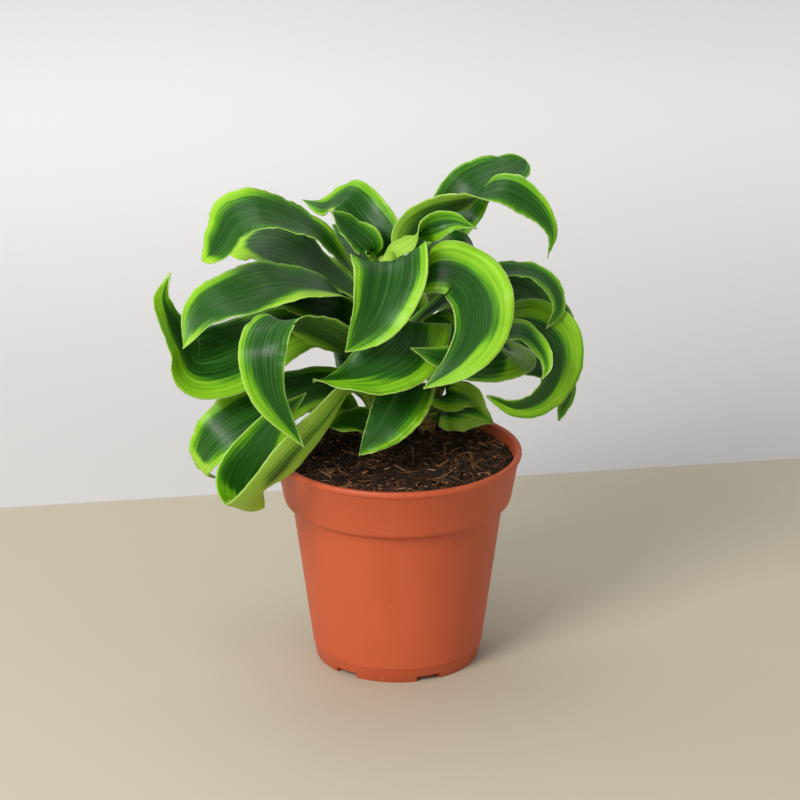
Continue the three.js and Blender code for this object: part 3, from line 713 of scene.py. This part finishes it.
PALE_RIM = (0.48, 0.65, 0.19)
GREEN_RIM = (0.22, 0.42, 0.05)
CREASE_GREEN = (0.0155, 0.104, 0.0027)
UPPER_GREENS = (
    (0.00, (0.0110, 0.080, 0.0024)), (0.26, (0.0160, 0.102, 0.0030)), (0.38, (0.032, 0.155, 0.0040)),
    (0.47, (0.068, 0.255, 0.005)), (0.56, (0.125, 0.375, 0.006)), (0.72, (0.235, 0.530, 0.010)),
    (1.00, (0.35, 0.65, 0.035)))
UPPER_STREAK = (0.055, 0.165, 0.026)
UPPER_BASE = (0.30, 0.50, 0.07)
UNDER_GREENS = (
    (0.00, (0.030, 0.105, 0.013)), (0.32, (0.046, 0.145, 0.016)), (0.45, (0.105, 0.265, 0.022)),
    (0.60, (0.195, 0.410, 0.028)), (1.00, (0.34, 0.58, 0.060)))
UNDER_STREAK = (0.110, 0.240, 0.045)
UNDER_BASE = (0.24, 0.43, 0.05)

# The grain of the blade's colours, as grains to the millimetre across and along the blade, and how
# far it differs from leaf to leaf.
VEIN_GRAIN = (3.1, 0.030, 1)
BAND_GRAIN = (0.95, 0.012, 1)
FLAME_GRAIN = (0.50, 0.022, 1.3)
PATCH_GRAIN = (0.14, 0.045, 2)
RIM_GRAIN = (0.2, 0.12, 2)
FLAME_REACH = 11  # how many millimetres the flames carry the lime in or out
VEIN_REACH = 2.2
LIME_START = 0.48  # the place in the ramp of greens at the lime's edge
RIPENING = 0.105  # how far each millimetre into the lime goes up the ramp
PATCH_SHIFT = 0.14
DARK_LINE = (0.42, 0.46, 0.60)  # what a dark line leaves of the red, green and blue under it


def smooth_curve(points):
    """A centripetal Catmull-Rom curve through the points, as a function of 0 to 1."""
    last = len(points) - 1
    run = [2 * points[0] - points[1], *points, 2 * points[-1] - points[-2]]

    def at(share):
        place = min(max(share, 0), 1) * last
        i = min(int(place), last - 1)
        w = place - i
        p0, p1, p2, p3 = run[i:i + 4]
        d0, d1, d2 = (math.sqrt((b - a).length) or 1 for a, b in ((p0, p1), (p1, p2), (p2, p3)))
        out = ((p1 - p0) / d0 - (p2 - p0) / (d0 + d1) + (p2 - p1) / d1) * d1
        back = ((p2 - p1) / d1 - (p3 - p1) / (d1 + d2) + (p3 - p2) / d2) * d1
        cubic = 2 * p1 - 2 * p2 + out + back
        square = 3 * p2 - 3 * p1 - 2 * out - back
        return ((cubic * w + square) * w + out) * w + p1

    return at


def heading(curve, share):
    """The direction of the curve there."""
    return (curve(min(share + HEADING_STEP, 1)) - curve(max(share - HEADING_STEP, 0))).normalized()


def evenly(curve):
    """A function from a share of the curve's length to a share of its points, and the length."""
    lengths = [0]
    before = curve(0)
    for i in range(1, CURVE_STEPS + 1):
        here = curve(i / CURVE_STEPS)
        lengths.append(lengths[-1] + (here - before).length)
        before = here

    def at(share):
        wanted = share * lengths[-1]
        i = 1
        while i < CURVE_STEPS and lengths[i] < wanted:
            i += 1
        return (i - 1 + (wanted - lengths[i - 1]) / (lengths[i] - lengths[i - 1])) / CURVE_STEPS

    return at, lengths[-1]


def across_blade(along, turn):
    """The direction across a blade that runs along that way, turned by some degrees."""
    face = (FRONT - along * FRONT.dot(along)).normalized()
    angle = math.radians(turn)
    return along.cross(face) * math.cos(angle) + face * math.sin(angle)


def blade_curves(stem, leaf):
    """The midrib, the ways across it, the spread of its length, the length, and the seat's radius."""
    kin_root = stem_centre(stem, leaf.get("kin_root", leaf["root"]))
    places = [Vector(place[:3]) - kin_root for place in leaf["run"]]
    outward = Vector((places[0].x, places[0].y, 0)).normalized()
    seat = stem_radius(stem, leaf["root"]) + SEAT_CLEARANCE
    root = outward * seat
    points = [root, root + outward * CLASP_REACH + UP * CLASP_RISE, *places]
    unswung = smooth_curve(points)
    across = [outward.cross(UP)] * 2
    for i, place in enumerate(leaf["run"], start=2):
        across.append(across_blade(heading(unswung, i / (len(points) - 1)), place[3]))
    swing = Matrix.Rotation(math.radians(leaf["swing"]), 3, "Z")
    own_root = stem_centre(stem, leaf["root"])
    midrib = smooth_curve([swing @ point + own_root for point in points])
    spread, length = evenly(midrib)
    return midrib, smooth_curve([swing @ way for way in across]), spread, length, seat


def blade_width(share, leaf):
    """The width there: it opens from the clasp, and closes to the tip past its peak."""
    peak = leaf["peak"]
    opening = smooth(share, 0, OPENING_SHARE * peak)
    closing = 1 if share < peak else (1 - ((share - peak) / (1 - peak)) ** 2) ** leaf["point"]
    return max(TIP_WIDTH, mix(CLASP_WIDTH, leaf["width"], opening) * closing)


def blade_frame(midrib, sides, place):
    """The midrib's point there, the directions across and out of the face, and the bend sideways."""
    along = heading(midrib, place)
    across = sides(place)
    across = (across - along * across.dot(along)).normalized()
    bend = (heading(midrib, place + BEND_STEP) - heading(midrib, place - BEND_STEP)).dot(across)
    stride = (midrib(place + BEND_STEP) - midrib(place - BEND_STEP)).length
    return midrib(place), across, across.cross(along), bend / stride


def grow_leaf(name, stem, leaf, finishes):
    """One blade: a grid laid along its midrib, cupped, rippled and given its thickness."""
    leaf = {**USUAL_LEAF, **leaf}
    midrib, sides, spread, length, seat = blade_curves(stem, leaf)
    root, fade = leaf["root"], leaf["fade"]
    left_lime, right_lime = leaf["lime"]
    flush_middle, flush_reach, flush_strength = leaf.get("flush", (*AT_THE_ROOT, 0))
    bowl_middle, bowl_reach, bowl_degrees = leaf.get("bowl", (*AT_THE_ROOT, 0))
    closed_middle, closed_reach, closed_side = leaf.get("closed", (*AT_THE_ROOT, 1))
    clasp_angle = CLASP_WIDTH / 2 / seat
    shape = bmesh.new()
    bmesh.ops.create_grid(shape, x_segments=BLADE_COLUMNS, y_segments=BLADE_ROWS, size=1)
    blade = shape.verts.layers.float_vector.new("blade")
    zones = shape.verts.layers.float_vector.new("zones")
    pallor = shape.verts.layers.float.new("pallor")
    frames = {}
    for vert in shape.verts:
        side, share = vert.co.x, min(max((vert.co.y + 1) / 2, 0), 1)
        run = share * length
        row = round(share * BLADE_ROWS)
        if row not in frames:
            frames[row] = (*blade_frame(midrib, sides, spread(share)), blade_width(share, leaf))
        centre, across, face, bend, width = frames[row]

        # The section is an arc, flatter towards the tip. It stops short on the inside of a bend.
        bowl = bowl_degrees * smooth(abs(share - bowl_middle), bowl_reach, 0)
        cup = math.radians(leaf["cup"] * (1 - CUP_LOSS * share) + bowl)
        angle = mix(clasp_angle, cup, smooth(share, 0, CLASP_SHARE))
        radius = width / 2 / angle
        reach = radius * math.sin(angle * side)
        pinched = reach * bend > INNER_REACH
        if pinched:
            reach = INNER_REACH / bend

        # The margins ripple, waver and crimp, and are nibbled a little. The midrib is a shallow keel.
        grown = smooth(share, RIPPLES_FROM, RIPPLES_TO)
        nibble = noise.noise(Vector((run * NIBBLES_PER_MM, math.copysign(NIBBLE_LINE, side), root)))
        point = centre + across * (reach + NIBBLE_DEPTH * nibble * grown * side ** 7)
        wave = math.sin(math.tau * RIPPLE_WAVES * share + root)
        ripple = RIPPLE_HEIGHT * grown * side ** 3 * wave
        waver = noise.noise(Vector((run * WAVERS_PER_MM, side * WAVER_SPREAD, root)))
        crimp = noise.noise(Vector((run * CRIMPS_PER_MM, side * CRIMP_SPREAD, root + CRIMP_SHIFT)))
        frill = WAVER_HEIGHT * waver * side ** 2 + CRIMP_HEIGHT * crimp * side ** 4
        frill *= leaf["frill"] * grown
        ridge = KEEL_DEPTH * math.exp(-((side * width / KEEL_WIDTH) ** 2))
        keel = ridge * smooth(share, KEEL_TO, KEEL_FROM)
        point += face * (radius * (1 - math.cos(angle * side)) + ripple + frill - keel)

        # A closed margin is tucked under, and counts as far from the margin, so it stays green.
        shut = smooth(abs(share - closed_middle), closed_reach, SHUT_SHARE * closed_reach)
        to_margin = width / 2 if pinched else (1 - abs(side)) * width / 2
        to_margin += SHUT_MARGIN * shut * smooth(side * closed_side, 0.2, 0.6)
        vert.co = (point - face * SHUT_SINK * shut * smooth(side * closed_side, 0.4, 1)) * MM

        # The lime has its own width on each side. It wanders along the margin and fades at the tip.
        wander = noise.noise(
            Vector((run * WANDERS_PER_MM, math.copysign(WANDER_LINE, side), root * WANDER_SHIFT)))
        lime = mix(left_lime, right_lime, smooth(side, -LIME_MEETING, LIME_MEETING))
        lime *= 1 + LIME_WANDER * wander
        lime *= mix(1, FADED_LIME, smooth(share, fade, fade + FADE_REACH))
        flush = flush_strength * smooth(abs(share - flush_middle), flush_reach, 0)
        vert[blade] = (side * leaf["width"] / 2, run, root * GRAIN_SHIFT)
        vert[zones] = (min(lime - to_margin + flush, leaf["ripest"]), to_margin, share)
        vert[pallor] = leaf["pallor"]
    piece = new_piece(name, shape, finishes[0], "leaf", name.replace("_blade", ""))
    for other in finishes[1:]:
        piece.data.materials.append(other)
    body = piece.vertex_groups.new(name="blade_body")
    for vert in piece.data.vertices:
        to_margin = piece.data.attributes["zones"].data[vert.index].vector.y
        body.add([vert.index], smooth(to_margin, 0, THIN_MARGIN), "REPLACE")
    wall = piece.modifiers.new("blade_thickness", "SOLIDIFY")
    wall.thickness = BLADE_THICKNESS * MM
    wall.offset = 0
    wall.vertex_group = body.name
    wall.thickness_vertex_group = MARGIN_THICKNESS / BLADE_THICKNESS
    wall.material_offset = 1
    wall.material_offset_rim = 2


def leaf_face(name, greens, streak, base_green, roughness, coat, pallid):
    """One face of the blade: veined along its length, and lime at its margins in long streaks."""
    material, tree, shader = finish(
        name, IOR=1.4, Specular_IOR_Level=0.30,
        Coat_Weight=coat, Coat_Roughness=0.24, Coat_IOR=1.35,
        Subsurface_Weight=0.22, Subsurface_Radius=(0.4, 1.0, 0.12), Subsurface_Scale=0.0012)
    blade = where(tree, "blade")
    into_lime, to_margin, share = parts(tree, where(tree, "zones"))
    pallor = parts(tree, where(tree, "pallor"))[0]
    veins = blade.stretched(*VEIN_GRAIN).grain(1, 2)
    bands = blade.stretched(*BAND_GRAIN).grain(1, 4, 0.62)
    flames = blade.stretched(*FLAME_GRAIN).grain(1, 4, 0.66)
    patches = blade.stretched(*PATCH_GRAIN).grain(1, 2)
    ripeness = into_lime + (flames - 0.5) * FLAME_REACH + (veins - 0.5) * VEIN_REACH
    zone = ripeness * RIPENING + LIME_START + pallor * pallid
    patched = zone + (patches - 0.5) * PATCH_SHIFT
    ramp = tree.node("ShaderNodeValToRGB", {"stops": greens}, Fac=patched)
    green = Tone(tree.tree, ramp.outputs[0])
    lines = bands * 0.6 + veins * 0.4
    pale_lines = lines.rise(0.50, 0.62) * (1 - zone.rise(0.30, 0.75)) * 0.7
    streaked = pale_lines.blend(green, streak)
    dark_lines = (1 - lines.rise(0.38, 0.50)) * (0.85 - zone.rise(0.45, 0.85) * 0.55)
    lined = dark_lines.blend(streaked, streaked.stretched(*DARK_LINE))
    base = ((1 - share.rise(0.02, 0.20)) * 0.75).blend(lined, base_green)
    rim = (1 - to_margin.rise(0.12, 0.60)) * (0.45 + patches * 0.6)
    rimmed = rim.blend(base, PALE_RIM)
    paint(
        tree, shader, relief=veins * 0.45 + bands, depth=0.14,
        Base_Color=rimmed, Roughness=roughness + veins * 0.14 + patches * 0.10)
    return material


def leaf_rim():
    """The blade's edge: a pale line, and dark green where a bend or a tuck has closed the margin."""
    material, tree, shader = finish("leaf_margin", Roughness=0.5)
    patches = where(tree, "blade").stretched(*RIM_GRAIN).grain(1, 2)
    to_margin = parts(tree, where(tree, "zones"))[1]
    pale = patches.rise(0.35, 0.65).blend(GREEN_RIM, PALE_RIM)
    paint(tree, shader, Base_Color=to_margin.rise(0.5, 2).blend(pale, CREASE_GREEN))
    return material


leaf_finishes = (
    leaf_face(
        "leaf_upper_face", UPPER_GREENS, UPPER_STREAK, UPPER_BASE, roughness=0.27, coat=0.12, pallid=0),
    leaf_face(
        "leaf_underside", UNDER_GREENS, UNDER_STREAK, UNDER_BASE, roughness=0.42, coat=0.0, pallid=1),
    leaf_rim(),
)
for stem, leaves, back_leaves, label in (
        (MAIN_STEM, MAIN_LEAVES, MAIN_BACK_LEAVES, "main"),
        (SIDE_STEM, SIDE_LEAVES, SIDE_BACK_LEAVES, "side")):
    for i, leaf in enumerate(leaves, start=1):
        grow_leaf(f"{label}_leaf_{i:02d}_blade", stem, leaf, leaf_finishes)
    for i, (like, root, swing) in enumerate(back_leaves, start=1):
        front = leaves[like - 1]
        kin = {**front, "kin_root": front["root"], "root": root, "swing": swing}
        grow_leaf(f"{label}_back_leaf_{i:02d}_blade", stem, kin, leaf_finishes)

# ---------------------------------------------------------------------- table, light and camera
# A flat, pale beige floor that turns pale grey past a line, as a table top does before a wall. The
# beige darkens to the right as painted shade, and the grey grows lighter further off and glows
# faintly, as painted light. A big soft box stands at the left, in front and above, with a weak one
# at the right and one over the plant, a little behind it. The camera looks down by 20 degrees. All
# in metres.

FLOOR_SIZE = 6
WALL_LINE_Y = 0.2235
WALL_LINE_SLOPE = 0.17
WALL_LINE_SOFTNESS = 0.001
LEFT_BEIGE = (0.55, 0.50, 0.385)
# Darker than the left beige: painted shade on the right of the table.
RIGHT_BEIGE_PAINTED_SHADE = (0.50, 0.45, 0.345)
WALL_GREY = (0.57, 0.555, 0.55)
# Lighter than the near wall grey: painted light further off.
FAR_WALL_GREY_PAINTED_LIGHT = (0.98, 0.98, 0.97)
# The colour of the wall zone's faint painted glow.
WALL_PAINTED_GLOW = (1, 0.99, 0.98)
LIGHT_AIM = (0, 0, 0.12)
SOFT_BOXES = (
    dict(name="key", place=(-0.92, -1.2, 1.08), size=0.65, watts=25.3, colour=(1, 0.99, 0.965)),
    dict(name="fill", place=(1.3, -1.0, 0.9), size=1.2, watts=0.8, colour=(0.97, 0.98, 1)),
    dict(name="top", place=(-0.3, 0.45, 1.6), size=1.0, watts=7, colour=(1, 1, 0.99)),
)
ROOM_COLOUR = (0.88, 0.88, 0.87)
ROOM_STRENGTH = 0.54
LENS_MM = 128.9
SENSOR_MM = 36
CAMERA_PLACE = (0.0012, -1.293, 0.595)
CAMERA_TILT = 70.24


def table_top():
    """Smooth pale beige card with painted shade to the right, and pale grey past the line of the wall,
    with painted light: lighter further off and faintly glowing.
    """
    material, tree, shader = finish("table_top", Emission_Strength=1.0)
    x, y = parts(tree, where(tree))[:2]
    wall = (y - x * WALL_LINE_SLOPE).rise(
        WALL_LINE_Y - WALL_LINE_SOFTNESS, WALL_LINE_Y + WALL_LINE_SOFTNESS)
    far = y.rise(0.15, 1.25)
    # Painted light: the wall zone glows faintly, more at the left and further off.
    painted_wall_glow = wall * ((1 - x.rise(-0.28, 0.28)) * 0.08 + far * 0.06)
    # Painted shade: the beige darkens from left to right.
    beige_with_painted_shade = x.rise(-0.5, 0.6).blend(LEFT_BEIGE, RIGHT_BEIGE_PAINTED_SHADE)
    # Painted light: the grey grows lighter further off.
    grey_with_painted_light = far.blend(WALL_GREY, FAR_WALL_GREY_PAINTED_LIGHT)
    paint(
        tree, shader, Base_Color=wall.blend(beige_with_painted_shade, grey_with_painted_light), Roughness=0.6 + wall * 0.3,
        Emission_Color=painted_wall_glow.blend((0, 0, 0), WALL_PAINTED_GLOW))
    return material


floor_shape = bmesh.new()
bmesh.ops.create_grid(floor_shape, x_segments=2, y_segments=2, size=FLOOR_SIZE)
floor_mesh = bpy.data.meshes.new("table_top")
floor_shape.to_mesh(floor_mesh)
floor_shape.free()
floor_mesh.materials.append(table_top())
floor = bpy.data.objects.new("table_top", floor_mesh)
bpy.context.scene.collection.objects.link(floor)


def soft_box(name, place, size, watts, colour):
    """A square soft box at that place, aimed at the middle of the plant."""
    light = bpy.data.lights.new(name, "AREA")
    light.size = size
    light.energy = watts
    light.color = colour
    box = bpy.data.objects.new(name, light)
    box.location = place
    box.rotation_euler = (Vector(LIGHT_AIM) - Vector(place)).to_track_quat("-Z", "Y").to_euler()
    bpy.context.scene.collection.objects.link(box)


for settings in SOFT_BOXES:
    soft_box(**settings)

scene = bpy.context.scene
scene.world = bpy.data.worlds.new("studio")
scene.world.use_nodes = True
room = scene.world.node_tree.nodes["Background"]
room.inputs["Color"].default_value = (*ROOM_COLOUR, 1)
room.inputs["Strength"].default_value = ROOM_STRENGTH
scene.view_settings.view_transform = "Standard"

camera_data = bpy.data.cameras.new("camera")
camera_data.lens = LENS_MM
camera_data.sensor_width = SENSOR_MM
camera = bpy.data.objects.new("camera", camera_data)
camera.location = CAMERA_PLACE
camera.rotation_euler = (math.radians(CAMERA_TILT), 0, 0)
scene.collection.objects.link(camera)
scene.camera = camera
